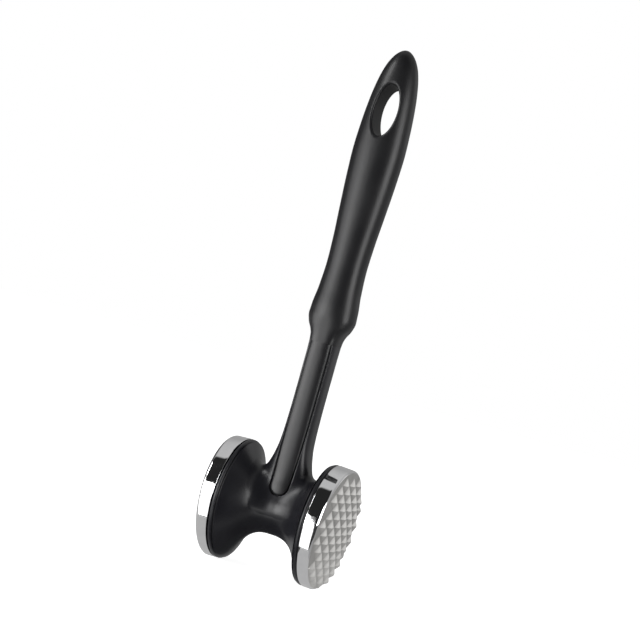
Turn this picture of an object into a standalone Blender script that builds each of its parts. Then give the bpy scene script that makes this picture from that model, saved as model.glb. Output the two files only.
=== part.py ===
"""A meat mallet: a waisted black head between two steel striking plates, on a moulded handle.

Lengths are in metres. +Z runs up the handle and +X along the head, from the smooth plate to the
toothed one. The pieces are modelled about the middle of the head and then placed so that the
origin is the middle of the bottom of the whole mallet's box.
"""
import math

import bmesh
import bpy
from mathutils import Matrix, Vector

# Fit between pieces that touch, and how far a cutter runs past what it cuts
FIT = 0.0003
OVERRUN = 0.004

# Striking plates
PLATE_RADIUS = 0.0282
HEAD_HALF_LENGTH = 0.0285
BAND_WIDTH = 0.0062
FACE_LEAN_DEGREES = 3.0
RIM_CHAMFER = 0.0008
BOSS_RADIUS = 0.0090
BOSS_LENGTH = 0.0063
BOSS_CHAMFER = 0.0006
TAPPED_DEPTH = 0.0092

# Teeth of the toothed plate: blunt pyramids on a diamond grid, trimmed where the face ends
TOOTH_ROW_STEP = 0.00384
TOOTH_COLUMN_STEP = 0.0051
TOOTH_GRID_OUT = 0.0019
TOOTH_GRID_UP = -0.0006
TOOTH_HEIGHT = 0.0012
TOOTH_VALLEY = 0.00035
TOOTH_SINK = 0.0005
TOOTH_TIP_SHARE = 0.14
TOOTH_LEAST = 0.0012

# Waisted head moulding
WAIST_RADIUS = 0.0108
FLANGE_SETBACK = 0.0001
FLANGE_EDGE_WIDTH = 0.0001
FLARE_POWER = 2.75
BEAD_WIDTH = 0.0020
BEAD_GROOVE_WIDTH = 0.0004
BEAD_GROOVE_DEPTH = 0.0007

# Tie stud, sleeve, washers and sealing rings inside the head
STUD_RADIUS = 0.0037
STUD_END_GAP = 0.0009
STUD_CHAMFER = 0.0007
SLEEVE_RADIUS = 0.0062
COLLAR_RADIUS = 0.0080
COLLAR_HALF_LENGTH = 0.0070
WASHER_RADIUS = 0.0072
WASHER_THICKNESS = 0.0016
RING_RADIUS = 0.0200
RING_WIDTH = 0.0018
RING_THICKNESS = 0.0012

# Shank between the head and the grip
SHANK_TOP = 0.0790
SHANK_HALF_WIDTH = 0.0064
SHANK_HALF_DEPTH = 0.0073
SHANK_SQUARENESS = 3.5
NECK_SQUARENESS = 2.5
NECK_END_SHARE = 0.40
NECK_START_SHARE = 0.20
CORE_HALF_DEPTH = 0.0044

# Tang inside the grip and the steel rod in it
TANG_HALF_WIDTH = 0.0048
TANG_HALF_DEPTH = 0.0043
TANG_TO_HOLE = 0.0150
ROD_RADIUS = 0.0025
ROD_SOCKET_DEPTH = 0.0022
ROD_COVER = 0.0100
ROD_CHAMFER = 0.0005
KEY_GROOVE_DEPTH = 0.0005
KEY_GROOVE_WIDTH = 0.0020
KEY_GROOVE_PITCH = 0.0080
KEY_GROOVE_COUNT = 4

# Grip with a tongue down the front and one down the back
GRIP_TOP = 0.2186
GRIP_HALF_WIDTH = 0.0119
GRIP_HALF_DEPTH = 0.0090
GRIP_SQUARENESS = 2.35
GRIP_BLEND_SHARE = 0.17
TONGUE_BOTTOM = 0.0080
TONGUE_END_RADIUS = 0.0043
TONGUE_HALF_WIDTH = 0.0053
TONGUE_RISE = 0.0005
TONGUE_GROOVE = 0.0005

# Hanging hole
HOLE_TO_TIP = 0.0299
HOLE_HALF_LENGTH = 0.0123
HOLE_HALF_WIDTH = 0.0055
HOLE_LIP = 0.0014

# Outline of the neck and shank: share of the shank's height, shares of its half width and half depth
NECK_SHARES = (
    (-0.055, 1.70, 1.00),
    (0.000, 2.15, 1.34),
    (0.050, 2.35, 1.33),
    (0.101, 2.44, 1.24),
    (0.152, 2.27, 1.16),
    (0.190, 2.00, 1.10),
    (0.228, 1.745, 1.065),
    (0.278, 1.47, 1.04),
    (0.329, 1.27, 1.02),
    (0.405, 1.10, 1.005),
    (0.500, 1.035, 1.00),
    (0.650, 1.00, 1.00),
    (1.000, 0.99, 1.00),
)

# Outline of the grip: share of its length above the shank, shares of its half width and half depth
GRIP_SHARES = (
    (0.000, 0.540, 0.865),
    (0.032, 0.620, 0.900),
    (0.060, 0.810, 0.950),
    (0.090, 0.910, 0.985),
    (0.118, 0.898, 0.985),
    (0.179, 0.820, 0.940),
    (0.265, 0.773, 0.905),
    (0.351, 0.807, 0.910),
    (0.437, 0.874, 0.940),
    (0.566, 0.966, 0.985),
    (0.652, 1.000, 1.000),
    (0.738, 0.965, 0.975),
    (0.824, 0.885, 0.915),
    (0.888, 0.775, 0.820),
    (0.938, 0.625, 0.680),
    (0.972, 0.435, 0.490),
    (0.992, 0.230, 0.270),
    (1.000, 0.000, 0.000),
)

# Width of a tongue above its round end: share of the way to the grip, share of its half width
TONGUE_SHARES = ((0.22, 0.90), (0.50, 0.97), (1.00, 1.00))

# Facets
TURN_STEPS = 64
SMALL_TURN_STEPS = 24
SECTION_STEPS = 36
NECK_RINGS = 22
GRIP_RINGS = 36
GRIP_RING_POWER = 1.25
FLARE_RINGS = 9
ARC_STEPS = 4
HOLE_STEPS = 32
TONGUE_END_STEPS = 8
SMOOTH_ANGLE_DEGREES = 32.0
WELD = 0.0000005

# Finishes: base colour, roughness, metallic
BLACK_PLASTIC = ("black_plastic", (0.012, 0.012, 0.014, 1.0), 0.34, 0.0)
BLACK_GRIP = ("black_grip", (0.011, 0.011, 0.012, 1.0), 0.42, 0.0)
POLISHED_STEEL = ("polished_steel", (0.78, 0.78, 0.79, 1.0), 0.08, 1.0)
BLASTED_STEEL = ("blasted_steel", (0.62, 0.61, 0.59, 1.0), 0.38, 1.0)
PLAIN_STEEL = ("plain_steel", (0.50, 0.50, 0.51, 1.0), 0.30, 1.0)
SEAL_RUBBER = ("seal_rubber", (0.02, 0.02, 0.02, 1.0), 0.75, 0.0)


def clear_scene():
    """Remove every object that the file holds."""
    for thing in list(bpy.data.objects):
        bpy.data.objects.remove(thing, do_unlink=True)


def finish_material(finish):
    """Return the material of one finish, made the first time it is asked for."""
    name, colour, roughness, metallic = finish
    material = bpy.data.materials.get(name)
    if material is None:
        material = bpy.data.materials.new(name)
        material.use_nodes = True
        shader = material.node_tree.nodes["Principled BSDF"]
        shader.inputs["Base Color"].default_value = colour
        shader.inputs["Roughness"].default_value = roughness
        shader.inputs["Metallic"].default_value = metallic
    return material


def make_object(name, shape, finish):
    """Turn a bmesh into a named object of one finish, with its faces pointing out."""
    bmesh.ops.remove_doubles(shape, verts=shape.verts, dist=WELD)
    bmesh.ops.recalc_face_normals(shape, faces=shape.faces)
    mesh = bpy.data.meshes.new(name)
    shape.to_mesh(mesh)
    shape.free()
    mesh.materials.append(finish_material(finish))
    mesh.shade_smooth()
    mesh.set_sharp_from_angle(angle=math.radians(SMOOTH_ANGLE_DEGREES))
    thing = bpy.data.objects.new(name, mesh)
    bpy.context.scene.collection.objects.link(thing)
    return thing


def combine(target, tool, operation):
    """Apply a Boolean of one object on another and remove the tool."""
    step = target.modifiers.new(operation.lower(), 'BOOLEAN')
    step.operation = operation
    step.solver = 'EXACT'
    step.object = tool
    bpy.context.view_layer.update()
    result = bpy.data.meshes.new_from_object(target.evaluated_get(bpy.context.evaluated_depsgraph_get()))
    target.modifiers.remove(step)
    target.data = result
    bpy.data.objects.remove(tool, do_unlink=True)
    result.shade_smooth()
    result.set_sharp_from_angle(angle=math.radians(SMOOTH_ANGLE_DEGREES))
    return target


def smooth_value(table, place):
    """Read a table of (place, value, ...) rows at a place, on one smooth curve without overshoot."""
    if place <= table[0][0]:
        return table[0][1:]
    if place >= table[-1][0]:
        return table[-1][1:]
    index = max(i for i in range(len(table) - 1) if table[i][0] <= place)
    span = table[index + 1][0] - table[index][0]
    share = (place - table[index][0]) / span
    values = []
    for column in range(1, len(table[0])):
        low = table[index][column]
        high = table[index + 1][column]
        slope_low = gentle_slope(table, index, column) * span
        slope_high = gentle_slope(table, index + 1, column) * span
        square = share * share
        cube = square * share
        values.append(low * (2 * cube - 3 * square + 1) + slope_low * (cube - 2 * square + share)
                      + high * (3 * square - 2 * cube) + slope_high * (cube - square))
    return tuple(values)


def gentle_slope(table, index, column):
    """Slope of a table's column at a row: the mean of its neighbours' where they agree, else zero."""
    if index == 0 or index == len(table) - 1:
        near = max(index, 1)
        return (table[near][column] - table[near - 1][column]) / (table[near][0] - table[near - 1][0])
    before = (table[index][column] - table[index - 1][column]) / (table[index][0] - table[index - 1][0])
    after = (table[index + 1][column] - table[index][column]) / (table[index + 1][0] - table[index][0])
    if before * after <= 0:
        return 0.0
    return 2 * before * after / (before + after)


def turned(profile, steps, closed):
    """Turn a profile of (x, radius) points about the X axis, starting straight below the axis."""
    shape = bmesh.new()
    corners = [shape.verts.new((x, 0, -radius)) for x, radius in profile]
    edges = [shape.edges.new(pair) for pair in zip(corners, corners[1:])]
    if closed:
        edges.append(shape.edges.new((corners[-1], corners[0])))
    bmesh.ops.spin(shape, geom=corners + edges, cent=(0, 0, 0), axis=(1, 0, 0),
                   angle=math.tau, steps=steps, use_merge=False)
    bmesh.ops.remove_doubles(shape, verts=shape.verts, dist=WELD)
    return shape


def upright(shape):
    """Stand a shape that was turned about X on the Z axis."""
    bmesh.ops.rotate(shape, verts=shape.verts, cent=(0, 0, 0), matrix=Matrix.Rotation(-math.pi / 2, 3, 'Y'))
    return shape


def superellipse(half_width, half_depth, squareness, steps):
    """Points of a rounded section, from an ellipse at squareness 2 towards a rectangle."""
    points = []
    for step in range(steps):
        turn = math.tau * (step + 1 / 2) / steps
        across = math.cos(turn)
        along = math.sin(turn)
        points.append((math.copysign(abs(across) ** (2 / squareness), across) * half_width,
                       math.copysign(abs(along) ** (2 / squareness), along) * half_depth))
    return points


def lofted(sections):
    """Skin (height, half width, half depth, squareness) sections from the bottom up, with flat ends."""
    shape = bmesh.new()
    rings = []
    for height, half_width, half_depth, squareness in sections:
        points = superellipse(half_width, half_depth, squareness, SECTION_STEPS)
        rings.append([shape.verts.new((x, y, height)) for x, y in points])
    for low, high in zip(rings, rings[1:]):
        for index in range(SECTION_STEPS):
            after = (index + 1) % SECTION_STEPS
            shape.faces.new((low[index], low[after], high[after], high[index]))
    shape.faces.new(reversed(rings[0]))
    shape.faces.new(rings[-1])
    return shape


def extruded(outline, near, far):
    """Extrude an outline of (x, z) points along Y, from near to far."""
    shape = bmesh.new()
    face = shape.faces.new([shape.verts.new((x, near, z)) for x, z in outline])
    moved = bmesh.ops.extrude_face_region(shape, geom=[face])
    corners = [item for item in moved["geom"] if isinstance(item, bmesh.types.BMVert)]
    bmesh.ops.translate(shape, verts=corners, vec=(0, far - near, 0))
    return shape


def lean_slope():
    """Rise of a striking face along the head for each length up the handle."""
    return math.tan(math.radians(FACE_LEAN_DEGREES))


def plate_back():
    """Distance from the handle's axis to a plate's back, which faces the moulding's flange."""
    return HEAD_HALF_LENGTH - BAND_WIDTH


def plate_blank(name, finish):
    """One striking plate towards +X: a disc with a tapped boss behind, its face and rim leaning down."""
    back = plate_back()
    start = boss_end()
    bore = STUD_RADIUS + FIT
    tap_end = start + TAPPED_DEPTH
    profile = [
        (tap_end, 0), (tap_end, bore), (start, bore),
        (start, BOSS_RADIUS - BOSS_CHAMFER), (start + BOSS_CHAMFER, BOSS_RADIUS),
        (back, BOSS_RADIUS), (back, PLATE_RADIUS),
        (HEAD_HALF_LENGTH + OVERRUN, PLATE_RADIUS), (HEAD_HALF_LENGTH + OVERRUN, 0),
    ]
    shape = turned(profile, TURN_STEPS, closed=False)
    for corner in shape.verts:
        if corner.co.x > HEAD_HALF_LENGTH:
            corner.co.z -= (corner.co.x - back) * lean_slope()
    normal = Vector((1, 0, -lean_slope())).normalized()
    bmesh.ops.bisect_plane(shape, geom=shape.verts[:] + shape.edges[:] + shape.faces[:],
                           plane_co=(HEAD_HALF_LENGTH, 0, 0), plane_no=normal, clear_outer=True)
    rim = [edge for edge in shape.edges if edge.is_boundary]
    bmesh.ops.contextual_create(shape, geom=rim)
    rim = [edge for edge in shape.edges
           if all(abs((corner.co - Vector((HEAD_HALF_LENGTH, 0, 0))).dot(normal)) < WELD for corner in edge.verts)]
    bmesh.ops.bevel(shape, geom=rim, offset=RIM_CHAMFER, offset_type='OFFSET', segments=2, profile=0.5,
                    affect='EDGES', clamp_overlap=True)
    return make_object(name, shape, finish)


def face_radius():
    """Radius of the flat of a striking face, inside its chamfered rim."""
    return PLATE_RADIUS - RIM_CHAMFER


def face_drop():
    """How far the middle of a striking face lies below the head's axis, because the rim leans."""
    return BAND_WIDTH * lean_slope()


def tooth_places():
    """Middles of the teeth: every grid place that lies inside the face by at least a named length."""
    reach = face_radius() - TOOTH_LEAST
    rows = math.ceil(PLATE_RADIUS / TOOTH_ROW_STEP)
    columns = math.ceil(PLATE_RADIUS / TOOTH_COLUMN_STEP)
    places = []
    for row in range(-rows, rows + 1):
        for column in range(-columns, columns + 1):
            if (row + column) % 2:
                continue
            up = row * TOOTH_ROW_STEP + TOOTH_GRID_UP
            out = column * TOOTH_COLUMN_STEP + TOOTH_GRID_OUT
            if math.hypot(out, up) <= reach:
                places.append((out, up))
    return places


def add_tooth(shape, out, up):
    """Add one blunt pyramid to a shape that lies on the YZ plane, its foot sunk behind the plane."""
    rings = []
    slope = (1 - TOOTH_TIP_SHARE) / TOOTH_HEIGHT
    for height in (-TOOTH_SINK, TOOTH_HEIGHT):
        share = 1 - slope * max(height, 0)
        half_out = (TOOTH_COLUMN_STEP - TOOTH_VALLEY) * share
        half_up = (TOOTH_ROW_STEP - TOOTH_VALLEY) * share
        rings.append([shape.verts.new((height, out + y, up + z)) for y, z in
                      ((half_out, 0), (0, half_up), (-half_out, 0), (0, -half_up))])
    foot, tip = rings
    for index in range(len(foot)):
        after = (index + 1) % len(foot)
        shape.faces.new((foot[index], foot[after], tip[after], tip[index]))
    shape.faces.new(reversed(foot))
    shape.faces.new(tip)


def toothed_plate():
    """The plate with the diamond grid of blunt pyramids."""
    plate = plate_blank("toothed_plate", BLASTED_STEEL)
    shape = bmesh.new()
    for out, up in tooth_places():
        add_tooth(shape, out, up)
    teeth = make_object("teeth", shape, BLASTED_STEEL)
    field = [(-OVERRUN, 0), (-OVERRUN, face_radius()), (OVERRUN, face_radius()), (OVERRUN, 0)]
    combine(teeth, make_object("tooth_field", turned(field, TURN_STEPS, closed=False), BLASTED_STEEL), 'INTERSECT')
    teeth.data.transform(Matrix.Rotation(math.radians(FACE_LEAN_DEGREES), 4, 'Y'))
    drop = face_drop()
    teeth.data.transform(Matrix.Translation((HEAD_HALF_LENGTH - drop * lean_slope(), 0, -drop)))
    return combine(plate, teeth, 'UNION')


def smooth_plate():
    """The plate with the plain face, which points the other way."""
    plate = plate_blank("smooth_plate", POLISHED_STEEL)
    plate.data.transform(Matrix.Scale(-1, 4, (1, 0, 0)))
    plate.data.flip_normals()
    return plate


def flange_radius():
    """Radius of the moulding's rim, a little inside the plate's."""
    return PLATE_RADIUS - FLANGE_SETBACK


def head_profile():
    """Half of the moulding's outline, from the waist out to its flat end, as (x, radius) points."""
    end = plate_back() - FIT
    rim = flange_radius()
    flare_end = rim - BEAD_GROOVE_DEPTH
    bead_start = end - BEAD_WIDTH
    edge = bead_start - BEAD_GROOVE_WIDTH
    points = []
    for ring in range(FLARE_RINGS + 1):
        share = ring / FLARE_RINGS
        radius = WAIST_RADIUS + (flare_end - WAIST_RADIUS) * share ** FLARE_POWER
        points.append(((edge - FLANGE_EDGE_WIDTH) * share, radius))
    points.append((edge, rim - BEAD_GROOVE_DEPTH / 2))
    half = BEAD_WIDTH / 2
    for step in range(ARC_STEPS + 1):
        turn = math.pi * step / ARC_STEPS
        points.append((end - half - half * math.cos(turn), rim - half + half * math.sin(turn)))
    return points


def ring_groove():
    """Outline of the groove for a sealing ring in a flat end of the moulding, from the rim inwards."""
    end = plate_back() - FIT
    floor = end - RING_THICKNESS - FIT
    inner = RING_RADIUS - RING_WIDTH / 2 - FIT
    outer = RING_RADIUS + RING_WIDTH / 2 + FIT
    return [(end, outer), (floor, outer), (floor, inner), (end, inner), (end, 0)]


def head_moulding():
    """The turned body of the head, closed at both ends, each with its ring groove."""
    half = head_profile() + ring_groove()
    other = [(-x, radius) for x, radius in reversed(half)]
    return make_object("core_moulding", turned(other + half[1:], TURN_STEPS, closed=False), BLACK_PLASTIC)


def neck_sections(extra, bottom_share, top_share, rings):
    """Sections of the neck and shank between two shares of the shank's height, grown all round by extra."""
    sections = []
    for ring in range(rings + 1):
        share = bottom_share + (top_share - bottom_share) * ring / rings
        width_share, depth_share = smooth_value(NECK_SHARES, share)
        blend = min(max((share - NECK_START_SHARE) / (NECK_END_SHARE - NECK_START_SHARE), 0), 1)
        squareness = NECK_SQUARENESS + (SHANK_SQUARENESS - NECK_SQUARENESS) * blend
        sections.append((SHANK_TOP * share, SHANK_HALF_WIDTH * width_share + extra,
                         SHANK_HALF_DEPTH * depth_share + extra, squareness))
    return sections


def tongue_outline(extra, top):
    """Outline of a tongue seen from the front, grown by extra, up to a height."""
    round_middle = TONGUE_BOTTOM + TONGUE_END_RADIUS
    right = []
    for step in range(TONGUE_END_STEPS + 1):
        turn = math.pi / 2 * step / TONGUE_END_STEPS
        right.append(((TONGUE_END_RADIUS + extra) * math.sin(turn),
                      round_middle - (TONGUE_END_RADIUS + extra) * math.cos(turn)))
    for share, width_share in TONGUE_SHARES[1:]:
        right.append((TONGUE_HALF_WIDTH * width_share + extra, round_middle + (SHANK_TOP - round_middle) * share))
    right.append((TONGUE_HALF_WIDTH + extra, top))
    return right + [(-x, z) for x, z in reversed(right) if x > WELD]


def tongue_blank(side, extra, top, depth):
    """A block in the tongue's outline, from a depth outwards, at the front (-1) or the back (1)."""
    outer = GRIP_HALF_DEPTH + OVERRUN
    shape = extruded(tongue_outline(extra, top), side * depth, side * outer)
    return make_object("tongue_blank", shape, BLACK_GRIP)


def hole_height():
    """Height of the middle of the hanging hole above the head's axis."""
    return GRIP_TOP - HOLE_TO_TIP


def tang_top():
    """Height of the top of the tang, which stays clear of the hanging hole."""
    return hole_height() - HOLE_HALF_LENGTH - HOLE_LIP - TANG_TO_HOLE


def tang_sections(extra):
    """Sections of the tang, from inside the shank to its top, grown all round by extra."""
    top = tang_top() + extra
    return [(SHANK_TOP - OVERRUN, TANG_HALF_WIDTH + extra, TANG_HALF_DEPTH + extra, SHANK_SQUARENESS),
            (top, TANG_HALF_WIDTH + extra, TANG_HALF_DEPTH + extra, SHANK_SQUARENESS)]


def boss_end():
    """Distance from the handle's axis to the end of a plate's boss."""
    return plate_back() - BOSS_LENGTH


def washer_seat():
    """Distance from the handle's axis to the near side of a lock washer, where the sleeve's bore ends."""
    return boss_end() - FIT - WASHER_THICKNESS


def sleeve_profile(extra, half_length):
    """Outer outline of the sleeve with its collar, grown by extra, as (x, radius) points."""
    radius = SLEEVE_RADIUS + extra
    collar = COLLAR_HALF_LENGTH + extra
    return [(-half_length, radius), (-collar, radius), (-collar, COLLAR_RADIUS + extra),
            (collar, COLLAR_RADIUS + extra), (collar, radius), (half_length, radius)]


def head_bore():
    """The stepped hollow through the head, for the sleeve, the washers and both bosses."""
    boss_seat = boss_end() - FIT
    seat = washer_seat()
    open_end = HEAD_HALF_LENGTH + OVERRUN
    inner = sleeve_profile(FIT, seat)
    washer = WASHER_RADIUS + FIT
    boss = BOSS_RADIUS + FIT
    right = [(seat, washer), (boss_seat, washer), (boss_seat, boss), (open_end, boss), (open_end, 0)]
    left = [(-x, radius) for x, radius in reversed(right)]
    return make_object("head_bore", turned(left + inner + right, SMALL_TURN_STEPS, closed=False), BLACK_PLASTIC)


def rod_foot():
    """Height of the foot of the core rod above the head's axis."""
    return COLLAR_RADIUS - ROD_SOCKET_DEPTH


def rod_top():
    """Height of the top of the core rod, inside the tang."""
    return tang_top() - ROD_COVER


def rod_channel():
    """The bore for the core rod, from the head up into the tang."""
    radius = ROD_RADIUS + FIT
    top = rod_top() + FIT
    profile = [(0, 0), (0, radius), (top, radius), (top, 0)]
    return make_object("rod_channel", upright(turned(profile, SMALL_TURN_STEPS, closed=False)), BLACK_PLASTIC)


def core_moulding():
    """Head, neck, shank and tang in one hard moulding, with room for what it is moulded round."""
    core = head_moulding()
    top_share = NECK_SHARES[-1][0]
    neck = lofted(neck_sections(0, NECK_SHARES[0][0], top_share, NECK_RINGS))
    combine(core, make_object("neck", neck, BLACK_PLASTIC), 'UNION')
    for side in (-1, 1):
        pocket = tongue_blank(side, TONGUE_GROOVE, SHANK_TOP + OVERRUN, CORE_HALF_DEPTH)
        combine(core, pocket, 'DIFFERENCE')
    combine(core, make_object("tang", lofted(tang_sections(0)), BLACK_PLASTIC), 'UNION')
    combine(core, head_bore(), 'DIFFERENCE')
    return combine(core, rod_channel(), 'DIFFERENCE')


def grip_sections():
    """Sections of the grip from its seat on the shank to its tip."""
    seat = SHANK_TOP + FIT
    length = GRIP_TOP - seat
    sections = []
    for ring in range(GRIP_RINGS + 1):
        even = ring / GRIP_RINGS
        share = math.sin(even * math.pi / 2) ** GRIP_RING_POWER
        width_share, depth_share = smooth_value(GRIP_SHARES, share)
        blend = min(share / GRIP_BLEND_SHARE, 1)
        squareness = SHANK_SQUARENESS + (GRIP_SQUARENESS - SHANK_SQUARENESS) * blend
        sections.append((seat + length * share, GRIP_HALF_WIDTH * width_share, GRIP_HALF_DEPTH * depth_share,
                         squareness))
    return sections


def tongue(side):
    """One tongue of the grip: the outline's block where it lies within the raised neck form."""
    block = tongue_blank(side, 0, SHANK_TOP + 2 * OVERRUN, CORE_HALF_DEPTH + FIT)
    top_share = (SHANK_TOP + OVERRUN) / SHANK_TOP
    form = lofted(neck_sections(TONGUE_RISE, NECK_SHARES[0][0], top_share, NECK_RINGS))
    return combine(block, make_object("raised_neck", form, BLACK_GRIP), 'INTERSECT')


def hole_cutter():
    """The oblong hanging hole along Y, which widens to a rounded lip at the front and the back."""
    shape = bmesh.new()
    rings = []
    middle = hole_height()
    lip_start = GRIP_HALF_DEPTH - HOLE_LIP
    places = []
    for step in range(ARC_STEPS + 1):
        turn = math.pi / 2 * step / ARC_STEPS
        places.append((lip_start + HOLE_LIP * math.sin(turn), HOLE_LIP * (1 - math.cos(turn))))
    places.append((GRIP_HALF_DEPTH + OVERRUN, HOLE_LIP))
    both = [(-y, grow) for y, grow in reversed(places)] + places
    for y, grow in both:
        ring = []
        for step in range(HOLE_STEPS):
            turn = math.tau * step / HOLE_STEPS
            ring.append(shape.verts.new(((HOLE_HALF_WIDTH + grow) * math.cos(turn), y,
                                         middle + (HOLE_HALF_LENGTH + grow) * math.sin(turn))))
        rings.append(ring)
    for low, high in zip(rings, rings[1:]):
        for index in range(HOLE_STEPS):
            after = (index + 1) % HOLE_STEPS
            shape.faces.new((low[index], low[after], high[after], high[index]))
    shape.faces.new(reversed(rings[0]))
    shape.faces.new(rings[-1])
    return make_object("hole_cutter", shape, BLACK_GRIP)


def grip_overmould():
    """The grip moulded over the tang, with its two tongues and its hanging hole."""
    grip = make_object("grip_overmould", lofted(grip_sections()), BLACK_GRIP)
    for side in (-1, 1):
        combine(grip, tongue(side), 'UNION')
    combine(grip, make_object("tang_pocket", lofted(tang_sections(FIT)), BLACK_GRIP), 'DIFFERENCE')
    return combine(grip, hole_cutter(), 'DIFFERENCE')


def tie_stud():
    """The stud that draws both plates against the head."""
    half = boss_end() + TAPPED_DEPTH - STUD_END_GAP
    profile = [(-half, 0), (-half, STUD_RADIUS - STUD_CHAMFER), (-half + STUD_CHAMFER, STUD_RADIUS),
               (half - STUD_CHAMFER, STUD_RADIUS), (half, STUD_RADIUS - STUD_CHAMFER), (half, 0)]
    return make_object("tie_stud", turned(profile, SMALL_TURN_STEPS, closed=False), PLAIN_STEEL)


def spacer_sleeve():
    """The steel sleeve round the stud, with a socket in its collar for the core rod."""
    half = washer_seat() - FIT
    bore = STUD_RADIUS + FIT
    profile = sleeve_profile(0, half) + [(half, bore), (-half, bore)]
    sleeve = make_object("spacer_sleeve", turned(profile, SMALL_TURN_STEPS, closed=True), PLAIN_STEEL)
    foot = rod_foot() - FIT
    radius = ROD_RADIUS + FIT
    top = COLLAR_RADIUS + OVERRUN
    socket = [(foot, 0), (foot, radius), (top, radius), (top, 0)]
    cutter = make_object("rod_socket", upright(turned(socket, SMALL_TURN_STEPS, closed=False)), PLAIN_STEEL)
    return combine(sleeve, cutter, 'DIFFERENCE')


def lock_washer(name, side):
    """A washer between one end of the sleeve and a plate's boss."""
    near = washer_seat()
    far = near + WASHER_THICKNESS
    bore = STUD_RADIUS + FIT
    profile = [(side * near, bore), (side * near, WASHER_RADIUS), (side * far, WASHER_RADIUS), (side * far, bore)]
    return make_object(name, turned(profile, SMALL_TURN_STEPS, closed=True), PLAIN_STEEL)


def sealing_ring(name, side):
    """A rubber ring in the groove behind one plate."""
    end = plate_back() - FIT
    start = end - RING_THICKNESS
    inner = RING_RADIUS - RING_WIDTH / 2
    outer = RING_RADIUS + RING_WIDTH / 2
    profile = [(side * start, inner), (side * start, outer), (side * end, outer), (side * end, inner)]
    return make_object(name, turned(profile, TURN_STEPS, closed=True), SEAL_RUBBER)


def core_rod():
    """The steel rod that stiffens the neck and handle, grooved at the top where the moulding grips it."""
    foot = rod_foot()
    profile = [(foot, 0), (foot, ROD_RADIUS - ROD_CHAMFER), (foot + ROD_CHAMFER, ROD_RADIUS)]
    top = rod_top()
    lowest = top - KEY_GROOVE_PITCH * KEY_GROOVE_COUNT
    inner = ROD_RADIUS - KEY_GROOVE_DEPTH
    for index in range(KEY_GROOVE_COUNT):
        start = lowest + KEY_GROOVE_PITCH * index
        end = start + KEY_GROOVE_WIDTH
        profile += [(start, ROD_RADIUS), (start + KEY_GROOVE_DEPTH, inner), (end - KEY_GROOVE_DEPTH, inner),
                    (end, ROD_RADIUS)]
    profile += [(top - ROD_CHAMFER, ROD_RADIUS), (top, ROD_RADIUS - ROD_CHAMFER), (top, 0)]
    return make_object("core_rod", upright(turned(profile, SMALL_TURN_STEPS, closed=False)), PLAIN_STEEL)


def place_on_origin(pieces):
    """Move every piece so that the middle of the bottom of their common box is the origin."""
    corners = [corner.co for piece in pieces for corner in piece.data.vertices]
    low = Vector([min(corner[axis] for corner in corners) for axis in range(3)])
    high = Vector([max(corner[axis] for corner in corners) for axis in range(3)])
    middle = (low + high) / 2
    for piece in pieces:
        piece.data.transform(Matrix.Translation((-middle.x, -middle.y, -low.z)))


def build_mallet():
    """Make every piece of the mallet and place them on the origin."""
    clear_scene()
    pieces = [
        core_moulding(),
        grip_overmould(),
        toothed_plate(),
        smooth_plate(),
        tie_stud(),
        spacer_sleeve(),
        lock_washer("lock_washer_toothed", 1),
        lock_washer("lock_washer_smooth", -1),
        sealing_ring("sealing_ring_toothed", 1),
        sealing_ring("sealing_ring_smooth", -1),
        core_rod(),
    ]
    place_on_origin(pieces)


build_mallet()
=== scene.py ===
"""Looks of a meat mallet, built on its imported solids: fine pieces, finishes, studio and camera."""
import logging
import math
from dataclasses import dataclass, field, replace
from enum import Enum
from typing import Callable, Sequence

import bmesh
import bpy
import numpy as np
from mathutils import Matrix, Vector


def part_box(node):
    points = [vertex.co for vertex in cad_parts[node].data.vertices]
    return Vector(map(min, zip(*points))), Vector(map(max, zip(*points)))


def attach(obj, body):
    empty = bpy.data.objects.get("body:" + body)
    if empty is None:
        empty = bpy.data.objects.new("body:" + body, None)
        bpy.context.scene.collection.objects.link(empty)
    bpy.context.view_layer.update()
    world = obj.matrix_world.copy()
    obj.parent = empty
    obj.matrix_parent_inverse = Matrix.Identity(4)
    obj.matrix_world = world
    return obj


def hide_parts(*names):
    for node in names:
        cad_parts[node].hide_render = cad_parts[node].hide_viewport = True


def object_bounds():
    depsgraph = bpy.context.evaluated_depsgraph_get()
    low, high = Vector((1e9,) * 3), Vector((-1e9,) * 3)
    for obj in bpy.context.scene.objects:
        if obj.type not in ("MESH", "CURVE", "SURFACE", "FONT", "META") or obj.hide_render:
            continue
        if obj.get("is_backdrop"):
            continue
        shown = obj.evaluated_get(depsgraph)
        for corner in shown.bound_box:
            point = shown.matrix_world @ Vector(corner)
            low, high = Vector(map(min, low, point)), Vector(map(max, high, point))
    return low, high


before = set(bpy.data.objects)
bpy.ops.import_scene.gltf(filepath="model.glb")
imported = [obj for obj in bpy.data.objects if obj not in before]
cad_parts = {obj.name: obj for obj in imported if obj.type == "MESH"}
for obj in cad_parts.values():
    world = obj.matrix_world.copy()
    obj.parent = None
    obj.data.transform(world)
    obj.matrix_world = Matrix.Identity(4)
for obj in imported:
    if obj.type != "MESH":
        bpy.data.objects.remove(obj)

log = logging.getLogger("meat_mallet")

MM = 0.001

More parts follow.
